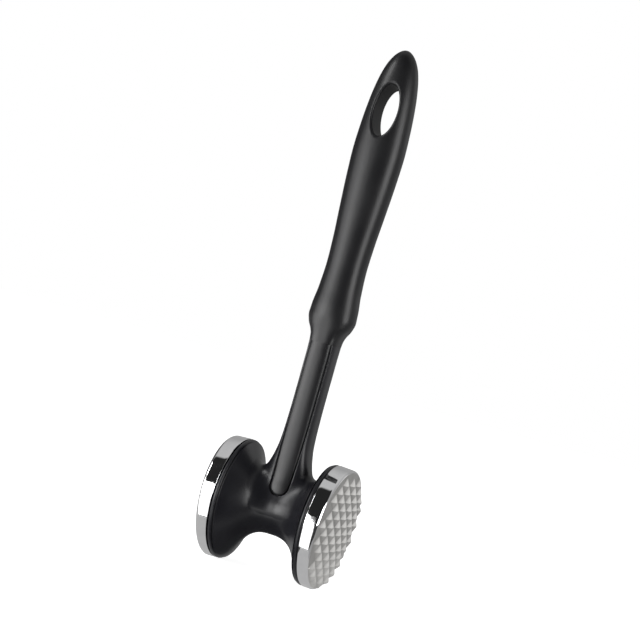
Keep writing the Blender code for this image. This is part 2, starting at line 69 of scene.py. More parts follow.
# Sizes in millimetres about the middle of the head, close to those of the solids
FIT = 0.3
PLATE_RADIUS = 28.2
HEAD_HALF_LENGTH = 28.5
BAND_WIDTH = 6.2
PLATE_BACK = HEAD_HALF_LENGTH - BAND_WIDTH
RIM_CHAMFER = 0.8
LEAN = math.radians(3.0)
BOSS_RADIUS = 9.0
BOSS_LENGTH = 6.3
BOSS_CHAMFER = 0.6
TAPPED_DEPTH = 9.2
STUD_RADIUS = 3.7
WAIST_RADIUS = 10.8
FLARE_POWER = 2.75
FLARE_LAND = 0.1
BEAD_WIDTH = 2.0
BEAD_GROOVE_WIDTH = 0.4
BEAD_GROOVE_DEPTH = 0.7
FLANGE_SETBACK = 0.1
RING_RADIUS = 20.0
RING_WIDTH = 1.8
RING_THICKNESS = 1.2
WASHER_RADIUS = 7.2
WASHER_THICKNESS = 1.6
SLEEVE_RADIUS = 6.2
COLLAR_RADIUS = 8.0
COLLAR_HALF_LENGTH = 7.0
ROD_RADIUS = 2.5

SHANK_TOP = 79.0
SHANK_HALF_WIDTH = 6.58
SHANK_HALF_DEPTH = 7.3
SHANK_SQUARENESS = 3.5
NECK_SQUARENESS = 2.5
NECK_FLOOR = -4.3
ROOT_BLEND = 2.2
ROOT_BLEND_GAIN = 4.6
ROOT_BLEND_SPAN = (1.0, 10.0)
SEAM_GAP = 0.02
GRIP_SEAT = 79.3
GRIP_TOP = 218.6
GRIP_HALF_WIDTH = 12.18
GRIP_HALF_DEPTH = 9.0
GRIP_SQUARENESS = 2.18
TONGUE_BOTTOM = 8.0
TONGUE_END_RADIUS = 4.3
TONGUE_END_MIDDLE = TONGUE_BOTTOM + TONGUE_END_RADIUS
TONGUE_HALF_WIDTH = 5.3
TONGUE_RISE = 0.5
HOLE_MIDDLE = 188.7
HOLE_HALF_LENGTH = 12.3
HOLE_HALF_WIDTH = 5.5
HOLE_LIP = 1.4

FACE_DOME = 1.35
FACE_RADIUS = 27.35
TOOTH_ROW_STEP = 3.83
TOOTH_COLUMN_STEP = 4.78
TOOTH_GRID_OUT = 2.07
TOOTH_GRID_UP = -1.78
TOOTH_HEIGHT = 1.3
TOOTH_VALLEY = 0.25
TOOTH_TIP_SHARE = 0.15
TOOTH_REACH = 26.3
TOOTH_REACH_OUT = 2.7
TOOTH_REACH_UP = -2.0
TOOTH_SEED = 7

# Least values to divide by
LEAST_SHARE = 1e-4
LEAST_SLOPE = 0.05
LEAST_MOVE = 1e-9

# Shares of the shank's and of the grip's length over which the section changes its squareness
NECK_SQUARE_SPAN = (0.20, 0.40)
GRIP_SQUARE_SPAN = (0.0, 0.11)

# Share of the shank's height, then shares of its half width and half depth
NECK_ROWS = (
    (-0.055, 1.70, 1.00), (0.000, 2.15, 1.34), (0.050, 2.35, 1.33), (0.101, 2.44, 1.24),
    (0.152, 2.27, 1.16), (0.190, 2.00, 1.10), (0.228, 1.745, 1.065), (0.278, 1.47, 1.04),
    (0.329, 1.27, 1.02), (0.405, 1.10, 1.005), (0.500, 1.035, 1.00), (0.650, 1.00, 1.00),
    (0.920, 0.992, 1.003), (1.000, 0.998, 1.056),
)

# Share of the grip's length, then shares of its half width and half depth
GRIP_ROWS = (
    (0.000, 0.540, 0.865), (0.020, 0.572, 0.872), (0.036, 0.640, 0.888), (0.062, 0.818, 0.928),
    (0.090, 0.912, 0.970), (0.118, 0.900, 0.982), (0.179, 0.820, 0.940), (0.265, 0.773, 0.905),
    (0.351, 0.807, 0.910), (0.437, 0.874, 0.940), (0.566, 0.966, 0.985), (0.652, 1.000, 1.000),
    (0.738, 0.965, 0.975), (0.824, 0.885, 0.915), (0.888, 0.775, 0.820), (0.938, 0.625, 0.680),
    (0.972, 0.435, 0.490), (0.992, 0.230, 0.270), (1.000, 0.000, 0.000),
)

# Share of a tongue's straight part, then share of its half width
TONGUE_ROWS = ((0.00, 0.811), (0.22, 0.90), (0.50, 0.97), (1.00, 1.00))

# Shares of the face's radius where a plate has a ring of corners, from the rim inwards
FACE_SHARES = (0.996, 0.97, 0.92, 0.85, 0.75, 0.64, 0.52, 0.4, 0.28, 0.15, 0.05, 0.0)

# Turns the head's X axis to Z, so that a face lies level
TO_FACE = Matrix(((0, 1, 0, 0), (0, 0, 1, 0), (1, 0, 0, 0), (0, 0, 0, 1)))

Points = np.ndarray
Field = Callable[[Points], np.ndarray]
Section = Callable[[np.ndarray], tuple[np.ndarray, np.ndarray, np.ndarray]]
Span = tuple[float, float]
Colour = tuple[float, float, float]


class Side(Enum):
    """The front and the back of the handle, as the sign of Y."""

    FRONT = -1
    BACK = 1


class End(Enum):
    """The two ends of the head, as the sign of X."""

    TOOTHED = 1
    SMOOTH = -1


class Value:
    """A node socket that adds Math nodes when it is used in an expression."""

    def __init__(self, graph: "Graph", socket: bpy.types.NodeSocket) -> None:
        self.graph = graph
        self.socket = socket

    def _math(self, operation: str, *others: "Value | float") -> "Value":
        return self.graph.node("ShaderNodeMath", {"operation": operation},
                               dict(enumerate((self,) + others)))

    def __add__(self, other: "Value | float") -> "Value":
        return self._math("ADD", other)

    __radd__ = __add__

    def __mul__(self, other: "Value | float") -> "Value":
        return self._math("MULTIPLY", other)

    __rmul__ = __mul__

    def __sub__(self, other: "Value | float") -> "Value":
        return self._math("SUBTRACT", other)

    def __rsub__(self, other: float) -> "Value":
        return (self * -1.0) + other

    def __truediv__(self, other: "Value | float") -> "Value":
        return self._math("DIVIDE", other)

    def __pow__(self, other: float) -> "Value":
        return self._math("POWER", other)

    def __gt__(self, other: "Value | float") -> "Value":
        return self._math("GREATER_THAN", other)

    def ramp(self, low: float, high: float) -> "Value":
        """Smooth step of the value.

        Args:
            low: where the step starts.
            high: where it ends.

        Returns:
            A value from 0 to 1.
        """
        return self.graph.node("ShaderNodeMapRange", {"interpolation_type": "SMOOTHSTEP"},
                               {"Value": self, "From Min": low, "From Max": high})


class Graph:
    """The node tree of a material, a world or a node group, built by expressions."""

    def __init__(self, tree: bpy.types.NodeTree) -> None:
        self.tree = tree

    def node(self, kind: str, settings: dict | None = None, sockets: dict | None = None,
             output: int | str = 0) -> Value:
        """Add one node.

        Args:
            kind: the node's type.
            settings: its properties, which are set first.
            sockets: values or links of its inputs, by name or index.
            output: which output to return.

        Returns:
            That output as a value.
        """
        made = self.tree.nodes.new(kind)
        for name, setting in (settings or {}).items():
            setattr(made, name, setting)
        for key, value in (sockets or {}).items():
            if isinstance(value, Value):
                self.tree.links.new(value.socket, made.inputs[key])
            else:
                made.inputs[key].default_value = value
        return Value(self, made.outputs[output])

    def vector(self, *parts: Value | float) -> Value:
        """Return the vector of up to three parts."""
        return self.node("ShaderNodeCombineXYZ", {}, dict(enumerate(parts)))

    def parts(self, vector: Value) -> list[Value]:
        """Return the X, Y and Z of a vector."""
        split = self.node("ShaderNodeSeparateXYZ", {}, {0: vector}).socket.node
        return [Value(self, output) for output in split.outputs]

    def place(self, stretch: Sequence[float] = (1, 1, 1)) -> Value:
        """Place on the piece in its own coordinates.

        Args:
            stretch: scale along each axis.

        Returns:
            The mapped place.
        """
        where = self.node("ShaderNodeTexCoord", output="Object")
        return self.node("ShaderNodeMapping", {"vector_type": "POINT"},
                         {"Vector": where, "Scale": tuple(stretch)})

    def noise(self, scale: float, detail: float = 2.0, stretch: Sequence[float] = (1, 1, 1)) -> Value:
        """Noise over the piece.

        Args:
            scale: how many features a metre holds.
            detail: octaves.
            stretch: scale along each axis.

        Returns:
            A value about one half.
        """
        return self.node("ShaderNodeTexNoise", {},
                         {"Vector": self.place(stretch), "Scale": scale, "Detail": detail}, "Fac")

    def mix(self, factor: Value, first: Colour, second: Colour) -> Value:
        """Mix of two colours.

        Args:
            factor: 0 for the first colour and 1 for the second.
            first: a colour.
            second: a colour.

        Returns:
            The mixed colour.
        """
        return self.node("ShaderNodeMix", {"data_type": "RGBA"},
                         {0: factor, 6: (*first, 1.0), 7: (*second, 1.0)}, 2)

    def bump(self, height: Value, distance: float) -> Value:
        """Normal of a height over the surface.

        Args:
            height: the height as a value.
            distance: metres for a height of 1.

        Returns:
            The normal.
        """
        return self.node("ShaderNodeBump", {}, {"Strength": 1.0, "Distance": distance, "Height": height})


def new_material(name: str, constants: dict[str, object]) -> tuple[bpy.types.Material, bpy.types.Node]:
    """Start a material.

    Args:
        name: its name.
        constants: values for the shader's own inputs.

    Returns:
        The material and its shader.
    """
    made = bpy.data.materials.new(name)
    made.use_nodes = True
    shader = made.node_tree.nodes["Principled BSDF"]
    for key, value in constants.items():
        shader.inputs[key].default_value = value
    return made, shader


@dataclass(frozen=True)
class Finish:
    """One surface finish, made into a material when it is first used."""

    name: str
    slot: str
    colour: Colour
    second_colour: Colour
    roughness: float
    roughness_change: float
    patch_scale: float
    grain_scale: float
    grain_depth: float
    metallic: float = 0.0
    specular: float = 0.5
    line_scale: float = 0.0
    line_depth: float = 0.0
    line_stretch: Colour = (1.0, 0.02, 0.02)
    patch_detail: float = 3.0
    patch_edge: Span = (0.35, 0.65)

    def colour_value(self, graph: Graph) -> Value:
        """Return the colour over the surface, in soft patches."""
        patches = graph.noise(self.patch_scale, self.patch_detail)
        return graph.mix(patches.ramp(*self.patch_edge), self.colour, self.second_colour)

    def material(self) -> bpy.types.Material:
        """Return the finish's material."""
        found = bpy.data.materials.get(self.name)
        if found:
            return found
        made, shader = new_material(
            self.name, {"Metallic": self.metallic, "Specular IOR Level": self.specular})
        graph = Graph(made.node_tree)
        patches = graph.noise(self.patch_scale, self.patch_detail)
        height, depth = graph.noise(self.grain_scale), self.grain_depth
        if self.line_depth:
            lines = graph.noise(self.line_scale, stretch=self.line_stretch)
            height, depth = height * (self.grain_depth / self.line_depth) + lines, self.line_depth
        varied = {"Base Color": self.colour_value(graph),
                  "Roughness": self.roughness + self.roughness_change * (patches - 0.5) * 2.0,
                  "Normal": graph.bump(height, depth)}
        for name, value in varied.items():
            made.node_tree.links.new(value.socket, shader.inputs[name])
        return made


@dataclass(frozen=True)
class ShadedToothFinish(Finish):
    """Blasted steel with painted shade: darker down in the valleys between the teeth."""

    # Painted shade: share of the colour that is left down in the valleys
    valley_shade_share: float = 0.76
    valley_foot: float = -0.1
    valley_top: float = 0.8

    def colour_value(self, graph: Graph) -> Value:
        """Return the colour with painted shade, which grows paler with height above the face."""
        middle = head_middle()
        out, across, up = (part - middle[axis] for axis, part in enumerate(graph.parts(graph.place())))
        far = (across * across + up * up) * (FACE_RADIUS * MM) ** -2
        height = out - HEAD_HALF_LENGTH * MM - up * math.tan(LEAN) - (1.0 - far) * (FACE_DOME * MM)
        high = (height / (self.valley_top * MM)).ramp(self.valley_foot, 1.0)
        share = high * (1.0 - self.valley_shade_share) + self.valley_shade_share
        return graph.node("ShaderNodeVectorMath", {"operation": "SCALE"},
                          {0: super().colour_value(graph), "Scale": share})


CORE_PLASTIC = Finish(
    "core_black", "core_plastic", (0.0060, 0.0060, 0.0078), (0.0080, 0.0080, 0.0100), roughness=0.32,
    roughness_change=0.03, patch_scale=90.0, grain_scale=2600.0, grain_depth=4e-6, specular=0.36)
GRIP_PLASTIC = Finish(
    "grip_black", "grip_plastic", (0.0058, 0.0058, 0.0066), (0.0078, 0.0078, 0.0086), roughness=0.36,
    roughness_change=0.04, patch_scale=70.0, grain_scale=2200.0, grain_depth=6e-6, specular=0.36)
# Painted shade: the hole's wall is the grip's plastic made darker and less glossy, for the shade inside the
# hole
HOLE_WALL_SHADE = replace(
    GRIP_PLASTIC, name="hole_wall_painted_shade", colour=(0.0042, 0.0042, 0.0048),
    second_colour=(0.0058, 0.0058, 0.0064), roughness=0.46, specular=0.13)
MIRROR_STEEL = Finish(
    "mirror_steel", "polished_steel", (0.80, 0.80, 0.81), (0.84, 0.84, 0.845), roughness=0.05,
    roughness_change=0.02, patch_scale=160.0, grain_scale=900.0, grain_depth=2e-7, metallic=1.0,
    line_scale=4000.0, line_depth=6e-7)
MIRROR_BAND = replace(MIRROR_STEEL, name="mirror_band", slot="toothed_steel")
SATIN_STEEL = replace(
    MIRROR_STEEL, name="satin_steel", colour=(0.50, 0.50, 0.505), second_colour=(0.55, 0.55, 0.555),
    roughness=0.46, roughness_change=0.05, grain_depth=2e-6, line_depth=3e-6)
# Blasted steel of the teeth and the face, with painted shade in the valleys between the teeth
BLASTED_STEEL_WITH_SHADE = ShadedToothFinish(
    "blasted_steel", "toothed_steel", (0.72, 0.71, 0.69), (0.79, 0.78, 0.76), roughness=0.33,
    roughness_change=0.06, patch_scale=260.0, grain_scale=3600.0, grain_depth=2e-5, metallic=1.0)
PLAIN_STEEL = Finish(
    "plain_steel", "plain_steel", (0.48, 0.48, 0.49), (0.54, 0.54, 0.55), roughness=0.30,
    roughness_change=0.06, patch_scale=200.0, grain_scale=1600.0, grain_depth=4e-6, metallic=1.0,
    line_scale=3000.0, line_depth=6e-6)
SEAL_RUBBER = Finish(
    "seal_rubber", "seal_rubber", (0.018, 0.018, 0.018), (0.026, 0.026, 0.026), roughness=0.72,
    roughness_change=0.06, patch_scale=240.0, grain_scale=2400.0, grain_depth=12e-6)


class Table:
    """A smooth curve through rows of a place and one or more values, without overshoot."""

    def __init__(self, rows: Sequence[Sequence[float]], square: bool = False) -> None:
        data = np.array(rows, float)
        self.places = data[:, 0]
        self.square = square
        self.values = data[:, 1:] ** 2 if square else data[:, 1:]
        steps = np.diff(self.values, axis=0) / np.diff(self.places)[:, None]
        slopes = np.zeros_like(self.values)
        slopes[0], slopes[-1] = steps[0], steps[-1]
        product = steps[:-1] * steps[1:]
        total = np.where(product > 0, steps[:-1] + steps[1:], 1.0)
        slopes[1:-1] = np.where(product > 0, 2 * product / total, 0.0)
        self.slopes = slopes

    def at(self, place: np.ndarray, column: int = 0) -> np.ndarray:
        """Read one column.

        Args:
            place: where to read.
            column: which value.

        Returns:
            The values there, held level beyond both ends.
        """
        where = np.clip(place, self.places[0], self.places[-1])
        low = np.clip(np.searchsorted(self.places, where, "right") - 1, 0, len(self.places) - 2)
        span = self.places[low + 1] - self.places[low]
        share = (where - self.places[low]) / span
        first, last = self.values[low, column], self.values[low + 1, column]
        rise, fall = self.slopes[low, column] * span, self.slopes[low + 1, column] * span
        cube, two = share ** 3, share ** 2
        out = (first * (2 * cube - 3 * two + 1) + rise * (cube - 2 * two + share)
               + last * (3 * two - 2 * cube) + fall * (cube - two))
        return np.sqrt(np.maximum(out, 0)) if self.square else out


NECK = Table(NECK_ROWS)
GRIP = Table(GRIP_ROWS, square=True)
TONGUE = Table(TONGUE_ROWS)


def smooth(value: np.ndarray, low: float, high: float) -> np.ndarray:
    """Smooth step from 0 at low to 1 at high."""
    share = np.clip((value - low) / (high - low), 0, 1)
    return share * share * (3 - 2 * share)


def signed_power(value: np.ndarray, power: float | np.ndarray) -> np.ndarray:
    """Raise the size of a value to a power and keep its sign."""
    return np.sign(value) * np.abs(value) ** power


def turned(x: np.ndarray, radius: float | np.ndarray, turn: np.ndarray) -> Points:
    """Points round the X axis, at a turn from straight up."""
    return np.stack([x, radius * np.sin(turn), radius * np.cos(turn)], axis=1)


def oval_ring(section: Section, cosine: np.ndarray, sine: np.ndarray, z: np.ndarray) -> Points:
    """Points round a squarish oval section of the handle.

    Args:
        section: gives half width, half depth and squareness at a height.
        cosine: cosine of each point's turn.
        sine: sine of each point's turn.
        z: height of each point.

    Returns:
        The points.
    """
    half_width, half_depth, square = section(z)
    return np.stack([signed_power(cosine, 2 / square) * half_width,
                     signed_power(sine, 2 / square) * half_depth, z], axis=1)


def flare_end() -> Span:
    """Distance from the middle of the head to where the flare ends, and its radius there."""
    return (PLATE_BACK - FIT - BEAD_WIDTH - BEAD_GROOVE_WIDTH - FLARE_LAND,
            PLATE_RADIUS - FLANGE_SETBACK - BEAD_GROOVE_DEPTH)


def spool_radius(x: np.ndarray) -> np.ndarray:
    """Radius of the waisted head at a distance along it."""
    reach, end = flare_end()
    return WAIST_RADIUS + (end - WAIST_RADIUS) * (np.abs(x) / reach) ** FLARE_POWER


def neck_size(z: np.ndarray) -> tuple[np.ndarray, np.ndarray, np.ndarray]:
    """Half width, half depth and squareness of the neck and shank at a height."""
    share = z / SHANK_TOP
    square = NECK_SQUARENESS + (SHANK_SQUARENESS - NECK_SQUARENESS) * smooth(share, *NECK_SQUARE_SPAN)
    return SHANK_HALF_WIDTH * NECK.at(share, 0), SHANK_HALF_DEPTH * NECK.at(share, 1), square


def grip_size(z: np.ndarray) -> tuple[np.ndarray, np.ndarray, np.ndarray]:
    """Half width, half depth and squareness of the grip at a height."""
    share = (z - GRIP_SEAT) / (GRIP_TOP - GRIP_SEAT)
    square = SHANK_SQUARENESS + (GRIP_SQUARENESS - SHANK_SQUARENESS) * smooth(share, *GRIP_SQUARE_SPAN)
    return GRIP_HALF_WIDTH * GRIP.at(share, 0), GRIP_HALF_DEPTH * GRIP.at(share, 1), square


def spool_field(points: Points) -> np.ndarray:
    """Distance outside the waisted head, roughly."""
    x = points[:, 0]
    reach, end = flare_end()
    slope = (end - WAIST_RADIUS) * FLARE_POWER / reach * (np.abs(x) / reach) ** (FLARE_POWER - 1)
    return (np.hypot(points[:, 1], points[:, 2]) - spool_radius(x)) / np.sqrt(1 + slope ** 2)


def neck_field(points: Points) -> np.ndarray:
    """Distance outside the neck and shank, roughly."""
    x, y, z = points.T
    half_width, half_depth, square = neck_size(z)
    share = (np.abs(x / half_width) ** square + np.abs(y / half_depth) ** square) ** (1 / square)
    share = np.maximum(share, LEAST_SHARE)
    return np.maximum(np.hypot(x, y) * (1 - 1 / share), NECK_FLOOR - z)


def core_field(points: Points) -> np.ndarray:
    """Distance outside the head and neck, joined by a rounded root."""
    head, neck = spool_field(points), neck_field(points)
    width = ROOT_BLEND + ROOT_BLEND_GAIN * smooth(np.abs(points[:, 0]), *ROOT_BLEND_SPAN)
    near = np.maximum(width - np.abs(head - neck), 0) / width
    return np.minimum(head, neck) - near * near * width / 4


def gradient(form: Field, points: Points, step: float = 0.01) -> Points:
    """Slope of a field at some points."""
    columns = []
    for axis in range(3):
        shift = np.zeros(3)
        shift[axis] = step
        columns.append((form(points + shift) - form(points - shift)) / (2 * step))
    return np.stack(columns, axis=1)


def outward(points: Points) -> Points:
    """Direction straight out of the head and neck at some points."""
    slope = gradient(core_field, points)
    return slope / np.linalg.norm(slope, axis=1, keepdims=True)


def settle(form: Field, points: Points, level: float, rounds: int = 12, stride: float = 2.0) -> Points:
    """Move points along a field's slope until it has a level there.

    Args:
        form: the field.
        points: where they start.
        level: the wanted value.
        rounds: how many steps.
        stride: the longest step in millimetres.

    Returns:
        The moved points.
    """
    for _ in range(rounds):
        slope = gradient(form, points)
        size = np.maximum((slope ** 2).sum(1), LEAST_SLOPE)
        move = ((form(points) - level) / size)[:, None] * slope
        length = np.maximum(np.linalg.norm(move, axis=1, keepdims=True), LEAST_MOVE)
        points = points - move * np.minimum(1.0, stride / length)
    return points


def tongue_distance(x: np.ndarray, z: np.ndarray) -> np.ndarray:
    """Distance outside a tongue's outline, seen from the front."""
    straight = np.abs(x) - tongue_half_width(z)
    return np.where(z > TONGUE_END_MIDDLE, straight, np.hypot(x, z - TONGUE_END_MIDDLE) - TONGUE_END_RADIUS)


def tongue_half_width(z: np.ndarray) -> np.ndarray:
    """Half width of a tongue at a height, round at its bottom end."""
    wide = TONGUE_HALF_WIDTH * TONGUE.at((z - TONGUE_END_MIDDLE) / (SHANK_TOP - TONGUE_END_MIDDLE))
    end = np.sqrt(np.maximum(TONGUE_END_RADIUS ** 2 - (z - TONGUE_END_MIDDLE) ** 2, 0))
    return np.where(z > TONGUE_END_MIDDLE, wide, end)


def front_surface(x: np.ndarray, z: np.ndarray, span: Span = (-18.0, -0.5), halvings: int = 44) -> Points:
    """Points on the front of the head and neck at places seen from the front.

    Args:
        x: places across.
        z: heights.
        span: Y where the search starts, outside and inside.
        halvings: how often the span is halved.

    Returns:
        The points.
    """
    low, high = (np.full(x.shape, end) for end in span)
    for _ in range(halvings):
        middle = (low + high) / 2
        outside = core_field(np.stack([x, middle, z], axis=1)) > 0
        low, high = np.where(outside, middle, low), np.where(outside, high, middle)
    return np.stack([x, (low + high) / 2, z], axis=1)


def loop_faces(rows: int, columns: int, wrap_rows: bool = False) -> list[tuple[int, ...]]:
    """Quads of a sheet whose columns run round.

    Args:
        rows: how many rings.
        columns: points in a ring.
        wrap_rows: whether the last ring joins the first.

    Returns:
        The faces as corner numbers.
    """
    faces = []
    for row in range(rows if wrap_rows else rows - 1):
        upper = (row + 1) % rows
        for column in range(columns):
            after = (column + 1) % columns
            faces.append((row * columns + column, row * columns + after,
                          upper * columns + after, upper * columns + column))
    return faces


def add_object(name: str, data: bpy.types.ID) -> bpy.types.Object:
    """Return a new object in the scene that holds some data."""
    made = bpy.data.objects.new(name, data)
    bpy.context.scene.collection.objects.link(made)
    return made


def make_piece(name: str, points: Points, faces: list[tuple[int, ...]], finish: Finish,
               sharp: float = 40.0, weld: float = 0.0005) -> bpy.types.Object:
    """Make a closed piece with its faces pointing out.

    Args:
        name: the piece's name.
        points: corners in millimetres about the middle of the head.
        faces: corner numbers of each face.
        finish: its finish.
        sharp: edges over this angle in degrees stay sharp.
        weld: corners closer than this, in millimetres, become one.

    Returns:
        The object, at the origin.
    """
    shape = bmesh.new()
    corners = [shape.verts.new(point) for point in points]
    for face in faces:
        shape.faces.new([corners[index] for index in face])
    bmesh.ops.remove_doubles(shape, verts=shape.verts, dist=weld)
    bmesh.ops.dissolve_degenerate(shape, edges=shape.edges, dist=weld / 4)
    bmesh.ops.recalc_face_normals(shape, faces=shape.faces)
    mesh = bpy.data.meshes.new(name)
    shape.to_mesh(mesh)
    shape.free()
    mesh.materials.append(finish.material())
    made = add_object(name, mesh)
    shade(made, sharp)
    return made


def shade(piece: bpy.types.Object, sharp: float) -> None:
    """Shade a piece smoothly but for edges over an angle in degrees."""
    piece.data.shade_smooth()
    piece.data.set_sharp_from_angle(angle=math.radians(sharp))


def apply_modifiers(piece: bpy.types.Object) -> None:
    """Turn a piece with modifiers into a plain mesh."""
    bpy.context.view_layer.update()
    seen = piece.evaluated_get(bpy.context.evaluated_depsgraph_get())
    result = bpy.data.meshes.new_from_object(seen)
    piece.modifiers.clear()
    piece.data = result


def cut(piece: bpy.types.Object, tool: bpy.types.Object, operation: str, weld: float) -> None:
    """Combine a piece with a tool and remove the tool.

    Args:
        piece: what is changed.
        tool: a closed shape.
        operation: DIFFERENCE or INTERSECT.
        weld: corners closer than this, in millimetres, become one afterwards.
    """
    step = piece.modifiers.new("cut", "BOOLEAN")
    step.operation = operation
    step.solver = "EXACT"
    step.object = tool
    apply_modifiers(piece)
    bpy.data.objects.remove(tool, do_unlink=True)
    shape = bmesh.new()
    shape.from_mesh(piece.data)
    bmesh.ops.remove_doubles(shape, verts=shape.verts, dist=weld)
    shape.to_mesh(piece.data)
    shape.free()


def refinish(piece: bpy.types.Object, finish: Finish, chosen: Callable[[Vector, Vector], bool]) -> None:
    """Give some faces of a piece a finish of their own.

    Args:
        piece: the object, still in millimetres.
        finish: the finish of those faces.
        chosen: says from a face's middle and normal whether it is one of them.
    """
    index = len(piece.data.materials)
    piece.data.materials.append(finish.material())
    for face in piece.data.polygons:
        if chosen(face.center, face.normal):
            face.material_index = index


def head_middle() -> Vector:
    """Middle of the head in the row frame, from the tie stud that runs through it."""
    low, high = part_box("tie_stud")
    return (low + high) / 2


def put_in_place(piece: bpy.types.Object, nodes: Sequence[str] = ()) -> None:
    """Scale a piece to metres, move it onto the frame and hand it over.

    Args:
        piece: the object.
        nodes: solids that it stands for.
    """
    piece.data.transform(Matrix.Translation(head_middle()) @ Matrix.Scale(MM, 4))
    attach(piece, "root")
    if nodes:
        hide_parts(*nodes)
    log.info("%s: %d corners", piece.name, len(piece.data.vertices))


def turned_piece(name: str, profile: Sequence[Span], steps: int, finish: Finish) -> bpy.types.Object:
    """Turn a closed profile about the X axis.

    Args:
        name: the piece's name.
        profile: (x, radius) points, closed from the last to the first.
        steps: how many times round.
        finish: its finish.

    Returns:
        The object.
    """
    turns = np.arange(steps) * math.tau / steps
    rings = [turned(np.full(steps, x), radius, turns) for x, radius in profile]
    return make_piece(name, np.concatenate(rings), loop_faces(len(rings), steps, True), finish, sharp=30.0)


@dataclass
class HeadMoulding:
    """The turned part of the core moulding, with its beads, ring grooves and stepped bore."""

    steps: int = 256
    flare_rings: int = 90
    bead_steps: int = 24
    lip_width: float = 0.10
    lip_height: float = 0.08
    groove_sink: float = 0.15
    groove_gap: float = 0.02

    def half_profile(self) -> list[Span]:
        """Outline from the waist to the bore of one end."""
        end = PLATE_BACK - FIT
        rim = PLATE_RADIUS - FLANGE_SETBACK
        half = BEAD_WIDTH / 2
        bead_start = end - BEAD_WIDTH
        edge = bead_start - BEAD_GROOVE_WIDTH
        bottom = rim - half - self.groove_sink
        places = [flare_end()[0] * ring / self.flare_rings for ring in range(self.flare_rings + 1)]
        points = [(x, float(spool_radius(np.array(x)))) for x in places]
        top = points[-1][1]
        points += [(edge, top + self.lip_height), (edge + self.lip_width / 2, top + self.lip_height / 4),
                   (edge + self.lip_width, bottom), (bead_start - self.groove_gap, bottom)]
        for step in range(self.bead_steps + 1):
            turn = math.pi * step / self.bead_steps
            points.append((end - half - half * math.cos(turn), rim - half + half * math.sin(turn)))
        outer, inner = RING_RADIUS + RING_WIDTH / 2 + FIT, RING_RADIUS - RING_WIDTH / 2 - FIT
        floor = end - RING_THICKNESS - FIT
        seat = PLATE_BACK - BOSS_LENGTH - FIT
        washer = seat - WASHER_THICKNESS
        collar = COLLAR_HALF_LENGTH + FIT
        steps = ((end, outer - FIT), (floor, outer - FIT), (floor, inner - FIT), (end, inner - FIT),
                 (end, BOSS_RADIUS), (seat, BOSS_RADIUS), (seat, WASHER_RADIUS), (washer, WASHER_RADIUS),
                 (washer, SLEEVE_RADIUS), (collar, SLEEVE_RADIUS), (collar, COLLAR_RADIUS))
        return points + [(x, radius + FIT) for x, radius in steps]

    def build(self) -> bpy.types.Object:
        """Return the turned head."""
        half = self.half_profile()
        other = [(-x, radius) for x, radius in reversed(half[1:])]
        return turned_piece("head_moulding", half + other, self.steps, CORE_PLASTIC)


